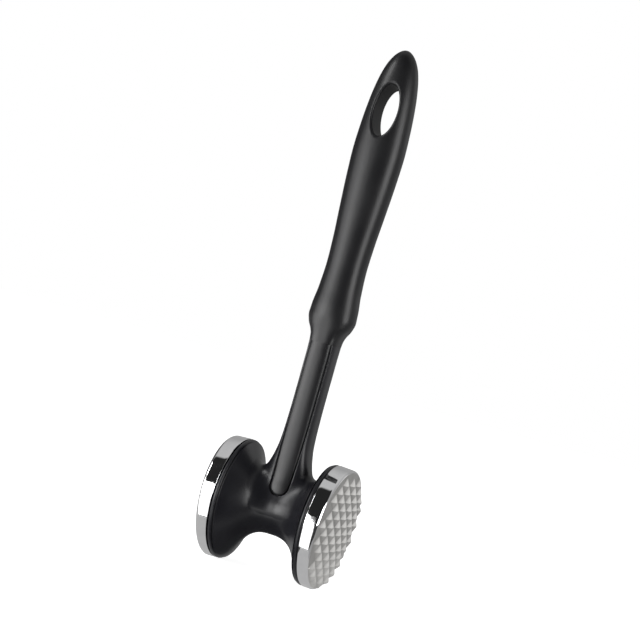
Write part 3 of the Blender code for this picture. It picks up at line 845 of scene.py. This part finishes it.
@dataclass
class Neck:
    """The neck and shank of the core moulding, rounded into the head, with a pocket for each tongue."""

    front_columns: int = 112
    side_columns: int = 26
    root_rows: int = 88
    shank_rows: int = 118
    front_share: float = 0.94
    front_root: float = 14.0
    side_root: float = 27.0
    root_ease: float = 5.0
    knee: Span = (0.78, 0.8)
    foot_reach: float = 16.5
    foot_turn: float = 1.8
    foot_power: float = 0.8
    foot_sink: float = 0.08
    foot_sink_start: float = 0.84
    lift: float = 0.03
    pocket_depth: float = 1.0
    pocket_wall: Span = (0.16, 0.58)
    skin: float = 0.6
    hidden_shares: tuple[float, ...] = (0.0, 0.15, 0.35, 0.6, 0.8, 1.0)
    channel_floor: float = 1.45
    channel_start: float = 12.0
    channel_rings: int = 8

    def columns(self) -> tuple[np.ndarray, np.ndarray]:
        """Cosine and sine of each column's turn, close together at the front and the back."""
        power = SHANK_SQUARENESS / 2
        front = np.linspace(-self.front_share, self.front_share, self.front_columns + 1)
        cosine = signed_power(front, power)
        sine = np.sqrt(1 - cosine ** 2)
        side_sine = signed_power(np.linspace(-1, 1, self.side_columns + 1)[1:-1], power) * sine[0]
        side_cosine = np.sqrt(1 - side_sine ** 2)
        return (np.concatenate([cosine, side_cosine, cosine[::-1], -side_cosine]),
                np.concatenate([-sine, side_sine, sine, -side_sine]))

    def rings(self) -> list[Points]:
        """Every ring, from the top of the shank down to the head and back up the rod's channel."""
        cosine, sine = self.columns()
        root = self.side_root + (self.front_root - self.side_root) * sine ** 2
        foot_x = self.foot_reach * signed_power(cosine, self.foot_power)
        foot_turn = self.foot_turn * signed_power(sine, self.foot_power)
        rows = [oval_ring(neck_size, cosine, sine, root + (GRIP_SEAT - SEAM_GAP - root) * share)
                for share in np.linspace(1, 0, self.shank_rows)]
        knee_x, knee_turn = foot_x * self.knee[0], foot_turn * self.knee[1]
        ends = (rows[-1], oval_ring(neck_size, cosine, sine, root - self.root_ease),
                turned(knee_x, spool_radius(knee_x), knee_turn),
                turned(foot_x, spool_radius(foot_x), foot_turn))
        shares = np.linspace(0, 1, self.root_rows + 1)[1:]
        for share in shares:
            rest = 1 - share
            rows.append(rest ** 3 * ends[0] + 3 * rest ** 2 * share * ends[1]
                        + 3 * rest * share ** 2 * ends[2] + share ** 3 * ends[3])
        sinks = self.foot_sink * smooth(shares, self.foot_sink_start, 1.0)
        levels = [self.lift] * self.shank_rows + list(self.lift - sinks)
        skin = [self.with_pocket(settle(core_field, row, level)) for row, level in zip(rows, levels)]
        return skin + self.hidden_rings(cosine, sine, foot_x, foot_turn)

    def with_pocket(self, ring: Points) -> Points:
        """Sink a ring where it crosses a tongue's pocket."""
        distance = tongue_distance(ring[:, 0], ring[:, 2])
        depth = self.pocket_depth * (1 - smooth(distance, *self.pocket_wall))
        return ring - outward(ring) * depth[:, None]

    def hidden_rings(self, cosine: np.ndarray, sine: np.ndarray, foot_x: np.ndarray,
                     foot_turn: np.ndarray) -> list[Points]:
        """Rings under the head's skin and up the channel of the rod.

        Args:
            cosine: cosine of each column's turn.
            sine: sine of each column's turn.
            foot_x: where each column ends on the head.
            foot_turn: its turn there from straight up.

        Returns:
            The rings, from the foot inwards and then up.
        """
        bore = ROD_RADIUS + FIT
        floor = COLLAR_RADIUS + self.channel_floor
        rings = []
        for share in self.hidden_shares:
            rest = 1 - share
            turn = foot_turn * rest + np.arcsin(bore * sine / floor) * share
            radius = floor + (spool_radius(foot_x) - self.skin - floor) * rest ** 4
            rings.append(turned(foot_x * rest + bore * cosine * share, radius, turn))
        for height in np.linspace(self.channel_start, GRIP_SEAT - SEAM_GAP, self.channel_rings):
            rings.append(np.stack([bore * cosine, bore * sine, np.full(len(sine), height)], axis=1))
        return rings

    def build(self) -> bpy.types.Object:
        """Return the neck and shank."""
        rings = self.rings()
        return make_piece("neck_and_shank", np.concatenate(rings),
                          loop_faces(len(rings), len(rings[0]), True), CORE_PLASTIC, sharp=50.0)


@dataclass
class Grip:
    """The grip with its hanging hole."""

    columns: int = 208
    rings: int = 210
    evenness: float = 0.6
    hole_columns: int = 128
    lip_rings: int = 14
    lip_turn: float = 84.0
    mouth_grow: float = 1.0
    mouth_rise: float = 1.2
    cutter_end: float = 14.0
    wall_margin: float = 0.35
    wall_tilt: float = 0.5
    sharp: float = 60.0

    def heights(self) -> np.ndarray:
        """Ring heights, close together at the shoulder and the tip."""
        even = np.linspace(0, 1, self.rings)
        share = np.where(even < 0.5, self.evenness * even + (1 - self.evenness) * even ** 2 * 2,
                         1 - (1 - even) ** 2 * 2)
        return GRIP_SEAT + (GRIP_TOP - GRIP_SEAT) * np.clip(share, 0, 1)

    def cutter(self) -> bpy.types.Object:
        """Return the shape of the hole, which opens in a rounded lip at both faces."""
        count = self.hole_columns
        turns = np.arange(count) * math.tau / count
        half = []
        for step in range(self.lip_rings + 1):
            turn = math.radians(self.lip_turn) * step / self.lip_rings
            half.append((HOLE_LIP * (1 - math.cos(turn)), -HOLE_LIP * (1 - math.sin(turn))))
        half.append((HOLE_LIP + self.mouth_grow, self.mouth_rise))
        rings = []
        for sign, places in ((-1, reversed(half)), (1, half)):
            for grow, above in places:
                x = (HOLE_HALF_WIDTH + grow) * np.cos(turns)
                z = HOLE_MIDDLE + (HOLE_HALF_LENGTH + grow) * np.sin(turns)
                half_width, half_depth, square = grip_size(z)
                depth = half_depth * np.maximum(1 - np.abs(x / half_width) ** square, 0) ** (1 / square)
                rings.append(np.stack([x, sign * (depth + above), z], axis=1))
        faces = loop_faces(len(rings), count)
        poles = np.array([[0, -self.cutter_end, HOLE_MIDDLE], [0, self.cutter_end, HOLE_MIDDLE]])
        last = len(rings) * count
        for column in range(count):
            after = (column + 1) % count
            faces.append((column, after, last))
            faces.append((last - count + column, last - count + after, last + 1))
        return make_piece("hole_cutter", np.concatenate(rings + [poles]), faces, GRIP_PLASTIC, self.sharp)

    def on_wall(self, middle: Vector, normal: Vector) -> bool:
        """Tell whether a face is on the wall of the hole, between its lips."""
        across = middle.x / (HOLE_HALF_WIDTH + self.wall_margin)
        along = (middle.z - HOLE_MIDDLE) / (HOLE_HALF_LENGTH + self.wall_margin)
        return across ** 2 + along ** 2 < 1 and abs(normal.y) < self.wall_tilt

    def build(self) -> bpy.types.Object:
        """Return the grip."""
        turns = (np.arange(self.columns) + 0.5) * math.tau / self.columns
        rings = [oval_ring(grip_size, np.cos(turns), np.sin(turns), np.full(self.columns, height))
                 for height in self.heights()]
        faces = loop_faces(len(rings), self.columns) + [tuple(range(self.columns))]
        grip = make_piece("grip", np.concatenate(rings), faces, GRIP_PLASTIC, self.sharp, weld=0.002)
        cut(grip, self.cutter(), "DIFFERENCE", weld=0.03)
        # Painted shade on the wall of the hole
        refinish(grip, HOLE_WALL_SHADE, self.on_wall)
        shade(grip, sharp=55.0)
        return grip


@dataclass
class Tongue:
    """One tongue of the grip, which runs down the shank onto the head in its own pocket."""

    side: Side
    columns: int = 44
    rows: int = 150
    end_rows: int = 34
    edge_radius: float = 0.8
    edge_depth: float = 0.42
    underside: float = 0.92
    crown: float = 0.45
    top_drop: float = 0.40
    top_drop_length: float = 6.5
    top_overlap: float = 0.3

    def height(self, distance: np.ndarray, z: np.ndarray) -> np.ndarray:
        """Height of the tongue above the shank's form.

        Args:
            distance: distance outside the tongue's outline.
            z: height of each place.

        Returns:
            The heights, crowned across and rounded down at the edge.
        """
        inward = np.clip(-distance / self.edge_radius, 0, 1)
        rise = TONGUE_RISE - self.top_drop * smooth(z, GRIP_SEAT - self.top_drop_length, GRIP_SEAT)
        rise = rise - self.crown * (1 - np.clip(-distance / tongue_half_width(z), 0, 1)) ** 2
        return -self.edge_depth + (rise + self.edge_depth) * np.sqrt(1 - (1 - inward) ** 2)

    def build(self) -> bpy.types.Object:
        """Return the tongue."""
        end = TONGUE_BOTTOM + TONGUE_END_RADIUS * (1 - np.cos(np.linspace(0, math.pi / 2, self.end_rows)))
        straight = np.linspace(TONGUE_END_MIDDLE, GRIP_SEAT + self.top_overlap, self.rows)
        across = np.sin(np.linspace(-math.pi / 2, math.pi / 2, self.columns))
        rings = []
        for height in np.concatenate([end, straight[1:]]):
            x = across * tongue_half_width(np.array([height]))[0]
            z = np.full(len(x), height)
            place = front_surface(x, z)
            slope = outward(place)
            over = place + slope * self.height(tongue_distance(x, z), z)[:, None]
            under = place - slope * self.underside
            rings.append(np.concatenate([over, under[::-1]]))
        count = 2 * self.columns
        points = np.concatenate(rings)
        if self.side is Side.BACK:
            points = points * np.array([1, -1, 1])
        last = (len(rings) - 1) * count
        faces = loop_faces(len(rings), count)
        faces += [tuple(range(last, last + count)), tuple(range(count))]
        return make_piece(f"tongue_{self.side.name.lower()}", points, faces, GRIP_PLASTIC, sharp=60.0,
                          weld=0.002)


@dataclass
class StrikingPlate:
    """A steel plate with a mirror band, a chamfered rim and a face that leans a little down."""

    end: End
    steps: int = 240
    skin: float = 0.01
    edge: float = 0.25
    edge_steps: int = 5
    round_radius: float = 1.5
    round_steps: int = 8
    band_rows: tuple[float, ...] = (1.4, 2.6)
    band_end: float = -1.6
    rim_rows: tuple[Span, ...] = ((-0.10, 0.10), (-0.03, 0.02), (0.0, -0.05))
    face_depth: float = 2.5
    face_margin: float = 0.2
    face_tilt: float = 0.9

    def rows(self) -> list[tuple[str, float, float]]:
        """Profile of the plate, from the bore round to the face.

        Returns:
            What x is measured from, the distance from there and the radius of each ring.
        """
        radius = PLATE_RADIUS - self.skin
        bore = STUD_RADIUS + FIT
        start = PLATE_BACK - BOSS_LENGTH
        tap = start + TAPPED_DEPTH
        rows = [("axis", tap, 0.0), ("axis", tap, bore), ("axis", start, bore),
                ("axis", start, BOSS_RADIUS - BOSS_CHAMFER), ("axis", start + BOSS_CHAMFER, BOSS_RADIUS),
                ("axis", PLATE_BACK, BOSS_RADIUS), ("axis", PLATE_BACK, radius - self.edge)]
        for step in range(1, self.edge_steps + 1):
            turn = math.pi / 2 * step / self.edge_steps
            rows.append(("axis", PLATE_BACK + self.edge * (1 - math.cos(turn)),
                         radius - self.edge * (1 - math.sin(turn))))
        rows += [("axis", PLATE_BACK + width, radius) for width in self.band_rows]
        rows.append(("face", self.band_end, radius))
        reach = RIM_CHAMFER + self.round_radius * (math.sin(math.pi / 4) - 1 + math.cos(math.pi / 4))
        for step in range(self.round_steps + 1):
            turn = math.pi / 4 * step / self.round_steps
            rows.append(("face", self.round_radius * math.sin(turn) - reach,
                         radius - self.round_radius * (1 - math.cos(turn))))
        rows += [("face", depth, radius - RIM_CHAMFER + grow) for depth, grow in self.rim_rows]
        dome = FACE_DOME if self.end is End.TOOTHED else 0.0
        return rows + [("face", dome * (1 - share ** 2), FACE_RADIUS * share) for share in FACE_SHARES]

    def on_face(self, middle: Vector, normal: Vector) -> bool:
        """Tell whether a face is on the flat that strikes."""
        inside = math.hypot(middle.y, middle.z) < PLATE_RADIUS - RIM_CHAMFER - self.face_margin
        deep = middle.x * self.end.value > HEAD_HALF_LENGTH - self.face_depth
        return inside and deep and normal.x * self.end.value > self.face_tilt

    def build(self) -> bpy.types.Object:
        """Return the plate."""
        turns = np.arange(self.steps) * math.tau / self.steps
        slope = math.tan(LEAN)
        rings = []
        for kind, distance, radius in self.rows():
            up = radius * np.cos(turns)
            x = np.full(self.steps, distance)
            if kind == "face":
                x = (HEAD_HALF_LENGTH + slope * up + slope ** 2 * PLATE_BACK) / (1 + slope ** 2) + distance
            z = up - np.maximum(x - PLATE_BACK, 0) * slope * (kind == "face" or radius > BOSS_RADIUS)
            rings.append(np.stack([x, radius * np.sin(turns), z], axis=1))
        points = np.concatenate(rings) * np.array([self.end.value, 1, 1])
        toothed = self.end is End.TOOTHED
        plate = make_piece(f"{self.end.name.lower()}_plate_body", points, loop_faces(len(rings), self.steps),
                           MIRROR_BAND if toothed else MIRROR_STEEL, sharp=28.0, weld=0.002)
        refinish(plate, BLASTED_STEEL_WITH_SHADE if toothed else SATIN_STEEL, self.on_face)
        return plate


@dataclass
class ToothField:
    """The diamond grid of blunt pyramids on the toothed face, grown by Geometry Nodes."""

    sizes: dict[str, float] = field(default_factory=lambda: {
        "Row step": TOOTH_ROW_STEP, "Column step": TOOTH_COLUMN_STEP, "Grid out": TOOTH_GRID_OUT,
        "Grid up": TOOTH_GRID_UP, "Valley": TOOTH_VALLEY, "Height": TOOTH_HEIGHT,
        "Tip share": TOOTH_TIP_SHARE, "Reach": TOOTH_REACH, "Reach out": TOOTH_REACH_OUT,
        "Reach up": TOOTH_REACH_UP, "Dome": FACE_DOME, "Face radius": FACE_RADIUS})
    columns: int = 7
    rows: int = 9
    shortest: float = 0.95
    trim_gap: float = 0.08
    trim_span: Span = (-1.0, 4.5)
    trim_steps: int = 192
    edge_width: float = 0.15
    edge_segments: int = 2
    edge_angle: float = 15.0
    sink: float = 0.01

    def grid(self, graph: Graph, given: dict[str, Value], shift: float) -> Value:
        """Add one of the two grids of points that make up the diamond grid.

        Args:
            graph: the node group.
            given: its inputs.
            shift: how many steps the grid is moved out and up.

        Returns:
            The points.
        """
        column, row = given["Column step"], given["Row step"]
        points = graph.node("GeometryNodeMeshGrid", {}, {
            "Size X": column * (2.0 * (self.columns - 1)), "Size Y": row * (2.0 * (self.rows - 1)),
            "Vertices X": self.columns, "Vertices Y": self.rows})
        move = graph.vector(column * shift + given["Grid out"], row * shift + given["Grid up"])
        return graph.node("GeometryNodeSetPosition", {}, {"Geometry": points, "Offset": move})

    def tree(self) -> bpy.types.NodeTree:
        """Return the node group that grows the teeth, with its inputs named."""
        tree = bpy.data.node_groups.new("tooth_grid", "GeometryNodeTree")
        for name, size in self.sizes.items():
            made = tree.interface.new_socket(name=name, in_out="INPUT", socket_type="NodeSocketFloat")
            made.default_value = size
        tree.interface.new_socket(name="Seed", in_out="INPUT", socket_type="NodeSocketInt")
        tree.interface.new_socket(name="Material", in_out="INPUT", socket_type="NodeSocketMaterial")
        tree.interface.new_socket(name="Geometry", in_out="OUTPUT", socket_type="NodeSocketGeometry")
        graph = Graph(tree)
        entry = tree.nodes.new("NodeGroupInput")
        given = {socket.name: Value(graph, socket) for socket in entry.outputs if socket.name}
        both = tree.nodes.new("GeometryNodeJoinGeometry")
        for shift in (1.0, 0.0):
            tree.links.new(self.grid(graph, given, shift).socket, both.inputs[0])
        place = graph.node("GeometryNodeInputPosition")
        centre = graph.vector(given["Reach out"], given["Reach up"])
        far = graph.node("ShaderNodeVectorMath", {"operation": "DISTANCE"}, {0: place, 1: centre}, "Value")
        kept = graph.node("GeometryNodeDeleteGeometry", {"domain": "POINT"}, {
            "Geometry": Value(graph, both.outputs[0]), "Selection": far > given["Reach"]})
        tooth = graph.node("GeometryNodeMeshCone", {"fill_type": "NGON"}, {
            "Vertices": 4, "Radius Top": given["Tip share"], "Radius Bottom": 1.0, "Depth": 1.0})
        chance = graph.node("FunctionNodeRandomValue", {"data_type": "FLOAT"},
                            {2: self.shortest, 3: 1.0, "Seed": given["Seed"]}, 1)
        size = graph.vector(given["Column step"] - given["Valley"], given["Row step"] - given["Valley"],
                            given["Height"] * chance)
        grown = graph.node("GeometryNodeInstanceOnPoints", {},
                           {"Points": kept, "Instance": tooth, "Scale": size})
        real = graph.node("GeometryNodeRealizeInstances", {}, {"Geometry": grown})
        flat = graph.node("ShaderNodeVectorMath", {"operation": "MULTIPLY"}, {0: place, 1: (1, 1, 0)})
        out = graph.node("ShaderNodeVectorMath", {"operation": "LENGTH"}, {0: flat}, "Value")
        lift = given["Dome"] * (1.0 - (out / given["Face radius"]) ** 2.0)
        domed = graph.node("GeometryNodeSetPosition", {},
                           {"Geometry": real, "Offset": graph.vector(0.0, 0.0, lift)})
        dressed = graph.node("GeometryNodeSetMaterial", {},
                             {"Geometry": domed, "Material": given["Material"]})
        tree.links.new(dressed.socket, tree.nodes.new("NodeGroupOutput").inputs[0])
        return tree

    def build(self) -> bpy.types.Object:
        """Return the teeth, trimmed to the face, with their edges softened."""
        tree = self.tree()
        teeth = add_object("tooth_field", bpy.data.meshes.new("tooth_field"))
        step = teeth.modifiers.new("grid", "NODES")
        step.node_group = tree
        values = {**self.sizes, "Seed": TOOTH_SEED, "Material": BLASTED_STEEL_WITH_SHADE.material()}
        for item in tree.interface.items_tree:
            if item.item_type == "SOCKET" and item.in_out == "INPUT":
                step[item.identifier] = values[item.name]
        apply_modifiers(teeth)
        rim = PLATE_RADIUS - RIM_CHAMFER - self.trim_gap
        low, high = self.trim_span
        trim = turned_piece("tooth_trim", [(low, 0.0), (low, rim), (high, rim), (high, 0.0)],
                            self.trim_steps, BLASTED_STEEL_WITH_SHADE)
        trim.data.transform(TO_FACE)
        cut(teeth, trim, "INTERSECT", weld=0.001)
        soften = teeth.modifiers.new("edges", "BEVEL")
        soften.width = self.edge_width
        soften.segments = self.edge_segments
        soften.limit_method = "ANGLE"
        soften.angle_limit = math.radians(self.edge_angle)
        apply_modifiers(teeth)
        drop = BAND_WIDTH * math.tan(LEAN)
        place = Matrix.Translation((HEAD_HALF_LENGTH - drop * math.tan(LEAN) - self.sink, 0, -drop))
        teeth.data.transform(place @ Matrix.Rotation(LEAN, 4, "Y") @ TO_FACE.transposed())
        shade(teeth, sharp=40.0)
        return teeth


@dataclass
class InnerParts:
    """The stud, sleeve, washers, rings and rod, which are the solids' own meshes with a finish."""

    finishes: dict[str, Finish] = field(default_factory=lambda: {
        "tie_stud": PLAIN_STEEL, "spacer_sleeve": PLAIN_STEEL, "lock_washer_toothed": PLAIN_STEEL,
        "lock_washer_smooth": PLAIN_STEEL, "core_rod": PLAIN_STEEL,
        "sealing_ring_toothed": SEAL_RUBBER, "sealing_ring_smooth": SEAL_RUBBER})

    def dress(self) -> None:
        """Give each inner node its finish."""
        for name, finish in self.finishes.items():
            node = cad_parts[name]
            node.data.materials.clear()
            node.data.materials.append(finish.material())


@dataclass(frozen=True)
class Card:
    """A level card of the studio, in metres: its near left corner, and X and Y of its far right one."""

    name: str
    low: tuple[float, float, float]
    high: Span
    glow: float
    shade: float = 0.0
    roughness: float = 0.9

    def build(self) -> bpy.types.Object:
        """Lay the card and return it."""
        mesh = bpy.data.meshes.new(self.name)
        x0, y0, z = self.low
        x1, y1 = self.high
        mesh.from_pydata([(x0, y0, z), (x1, y0, z), (x1, y1, z), (x0, y1, z)], [], [(0, 1, 2, 3)])
        card = add_object(self.name, mesh)
        material, _ = new_material(self.name, {
            "Base Color": (self.shade, self.shade, self.shade, 1), "Roughness": self.roughness,
            "Specular IOR Level": 0.0, "Emission Color": (1, 1, 1, 1), "Emission Strength": self.glow})
        mesh.materials.append(material)
        card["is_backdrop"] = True
        return card


@dataclass(frozen=True)
class Softbox:
    """A softbox that faces the mallet, in degrees from the front towards the toothed end and metres."""

    name: str
    turn: float
    height: float
    distance: float
    size: Span
    watts: float
    aim: float = 0.12

    def build(self) -> None:
        """Hang the softbox."""
        light = bpy.data.lights.new(self.name, "AREA")
        light.shape = "RECTANGLE"
        light.size, light.size_y = self.size
        light.energy = self.watts
        lamp = add_object(self.name, light)
        angle = math.radians(self.turn)
        lamp.location = (self.distance * math.sin(angle), -self.distance * math.cos(angle), self.height)
        aim = Vector((0, 0, self.aim)) - lamp.location
        lamp.rotation_euler = aim.to_track_quat("-Z", "Y").to_euler()
        lamp.visible_camera = False


FLOOR = Card("studio_floor", (-6.0, -6.0, 0.0), (6.0, 6.0), glow=0.86, shade=0.82)
CARDS = (
    Card("bounce_card", (-6.0, -6.0, -0.0006), (6.0, 6.0), glow=0.36),
    Card("front_card", (-0.2, -0.32, -0.0005), (0.03, -0.046), glow=1.6),
    Card("side_card", (0.03, -6.0, -0.0004), (1.2, -0.046), glow=0.04),
    Card("near_card", (-0.075, -0.046, -0.0003), (0.045, 0.07), glow=0.50),
    Card("dark_card", (-0.018, -0.046, -0.0002), (0.012, 0.07), glow=0.06),
    Card("line_card", (-0.075, -0.0475, -0.0001), (0.045, -0.0462), glow=0.03),
)
SOFTBOXES = (
    Softbox("softbox_left", -35.0, 0.10, 1.2, (0.56, 0.58), watts=7.0),
    Softbox("softbox_wash", -60.0, 0.10, 1.2, (0.50, 0.58), watts=2.8),
    Softbox("softbox_strip", -52.0, 0.80, 1.1, (0.34, 0.56), watts=5.6),
    Softbox("softbox_right", 64.0, 0.22, 1.2, (0.60, 0.90), watts=10.5),
    Softbox("softbox_low", -38.0, 0.062, 0.27, (0.28, 0.124), watts=0.36),
)


@dataclass
class Studio:
    """White floor, soft lights and surroundings whose spans are shares of a direction's X, Y or Z."""

    front_glow: float = 0.02
    behind: Span = (-0.28, -0.20)
    grey_glow: Span = (0.06, 0.30)
    grey_across: Span = (-0.75, -0.45)
    top_glow: float = 0.18
    top: Span = (0.5, 0.95)
    patch_glow: float = 0.52
    patch_across: Span = (0.35, 0.55)
    patch_ahead: Span = (0.3, 0.5)
    patch_foot: Span = (0.05, 0.2)
    patch_top: Span = (0.5, 0.65)

    def surroundings(self) -> None:
        """Set the world: white to the camera, to the steel grey behind the mallet and dark in front."""
        world = bpy.data.worlds.new("studio")
        world.use_nodes = True
        graph = Graph(world.node_tree)
        across, ahead, above = graph.parts(graph.node("ShaderNodeTexCoord", output="Generated"))
        patch = (across.ramp(*self.patch_across) * ahead.ramp(*self.patch_ahead)
                 * above.ramp(*self.patch_foot) * (1.0 - above.ramp(*self.patch_top)))
        grey = self.grey_glow[0] + across.ramp(*self.grey_across) * self.grey_glow[1]
        back = grey + above.ramp(*self.top) * self.top_glow + patch * self.patch_glow
        light = self.front_glow + ahead.ramp(*self.behind) * back
        camera = graph.node("ShaderNodeLightPath", output="Is Camera Ray")
        shown = camera + (1.0 - camera) * light
        background = world.node_tree.nodes["Background"]
        world.node_tree.links.new(shown.socket, background.inputs["Strength"])
        background.inputs["Color"].default_value = (1, 1, 1, 1)
        bpy.context.scene.world = world

    def build(self) -> None:
        """Set up the floor, the cards under it that the steel reflects, the world and the lights."""
        FLOOR.build().visible_glossy = False
        for card in CARDS:
            laid = card.build()
            laid.visible_camera = laid.visible_diffuse = laid.visible_shadow = False
        self.surroundings()
        for softbox in SOFTBOXES:
            softbox.build()
        view = bpy.context.scene.view_settings
        view.view_transform = "Standard"
        view.look = "None"


@dataclass
class Camera:
    """The camera at the photograph's angle, a little rolled."""

    place: tuple[float, float, float] = (0.23156, -0.68152, 0.10156)
    right: tuple[float, float, float] = (0.91120, 0.31131, 0.26990)
    down: tuple[float, float, float] = (0.24788, 0.10904, -0.96265)
    ahead: tuple[float, float, float] = (-0.32909, 0.94404, 0.02219)
    lens: float = 88.82
    sensor: float = 36.0
    nearest: float = 0.01

    def build(self) -> None:
        """Add the camera and make it the scene's."""
        data = bpy.data.cameras.new("camera")
        data.lens = self.lens
        data.sensor_width = self.sensor
        data.clip_start = self.nearest
        camera = add_object("camera", data)
        turn = Matrix((self.right, -Vector(self.down), -Vector(self.ahead))).transposed()
        camera.matrix_world = Matrix.Translation(self.place) @ turn.to_4x4()
        bpy.context.scene.camera = camera


def corners(pair: tuple[Vector, Vector]) -> list[list[float]]:
    """Two corners as plain lists."""
    return [[float(value) for value in corner] for corner in pair]


def main() -> None:
    """Build the pieces, the studio and the camera, and take the bounds before and after."""
    logging.basicConfig(level=logging.INFO, format="%(name)s %(message)s")
    solids = corners(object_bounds())
    put_in_place(HeadMoulding().build(), ["core_moulding"])
    put_in_place(Neck().build())
    put_in_place(Grip().build(), ["grip_overmould"])
    for side in Side:
        put_in_place(Tongue(side).build())
    put_in_place(StrikingPlate(End.TOOTHED).build(), ["toothed_plate"])
    put_in_place(StrikingPlate(End.SMOOTH).build(), ["smooth_plate"])
    put_in_place(ToothField().build())
    InnerParts().dress()
    Studio().build()
    Camera().build()
    {"solids": solids, "dressed": corners(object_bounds())}


if __name__ == "__main__":
    main()
